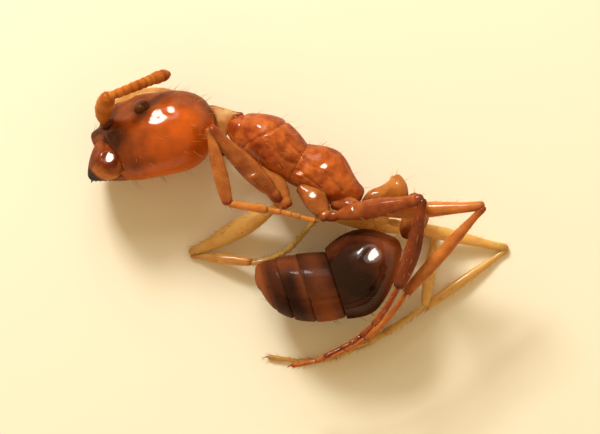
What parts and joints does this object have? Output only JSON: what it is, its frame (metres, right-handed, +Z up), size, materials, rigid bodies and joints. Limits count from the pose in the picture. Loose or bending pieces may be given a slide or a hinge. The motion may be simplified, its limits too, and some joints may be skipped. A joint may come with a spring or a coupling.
{
  "type": "fire ant",
  "caption": "Life-size fire ant worker lying on its right side, legs folded under it and its gaster curled forward; a still model.",
  "frame": {"origin": "centre of the footprint, on the surface that the ant lies on", "axes": "+X from the head towards the knees of the hind legs, +Y towards the ant's back, +Z up, which is the ant's left side"},
  "size_m": [0.005, 0.0034, 0.0015],
  "materials": {
    "red_plate": "glossy orange-red cuticle, browner at the edges, with fine grain and sparse hairs",
    "waist": "glossy translucent amber cuticle",
    "gaster_plate": "glossy near-black brown cuticle with a redder band behind the first plate",
    "mandible": "glossy red-brown cuticle with black biting edges",
    "antenna": "satin brown-orange cuticle, dark at the club",
    "leg_brown": "glossy red-brown cuticle, darker at the joints",
    "leg_amber": "glossy translucent amber cuticle, browner at the joints",
    "eye": "glossy black compound eye"
  },
  "bodies": {
    "root": {"antenna_left_club": "antenna", "antenna_left_funiculus": "antenna", "antenna_left_scape": "antenna", "antenna_right_club": "antenna", "antenna_right_funiculus": "antenna", "antenna_right_scape": "antenna", "eye_left": "eye", "eye_right": "eye", "gaster_first_plate": "gaster_plate", "gaster_second_plate": "gaster_plate", "gaster_third_plate": "gaster_plate", "gaster_tip": "gaster_plate", "head": "red_plate", "leg_fore_left_coxa": "leg_brown", "leg_fore_left_femur": "leg_brown", "leg_fore_left_tarsus": "leg_brown", "leg_fore_left_tibia": "leg_brown", "leg_fore_right_coxa": "leg_amber", "leg_fore_right_femur": "leg_amber", "leg_fore_right_tarsus": "leg_amber", "leg_fore_right_tibia": "leg_amber", "leg_hind_left_coxa": "leg_brown", "leg_hind_left_femur": "leg_brown", "leg_hind_left_tarsus": "leg_brown", "leg_hind_left_tibia": "leg_brown", "leg_hind_right_coxa": "leg_amber", "leg_hind_right_femur": "leg_amber", "leg_hind_right_tarsus": "leg_amber", "leg_hind_right_tibia": "leg_amber", "leg_mid_left_coxa": "leg_brown", "leg_mid_left_femur": "leg_brown", "leg_mid_left_tarsus": "leg_brown", "leg_mid_left_tibia": "leg_brown", "leg_mid_right_coxa": "leg_amber", "leg_mid_right_femur": "leg_amber", "leg_mid_right_tarsus": "leg_amber", "leg_mid_right_tibia": "leg_amber", "mandible_left": "mandible", "mandible_right": "mandible", "mesosoma_front": "red_plate", "mesosoma_rear": "red_plate", "neck": "waist", "petiole": "waist", "postpetiole": "waist"}
  },
  "joints": []
}
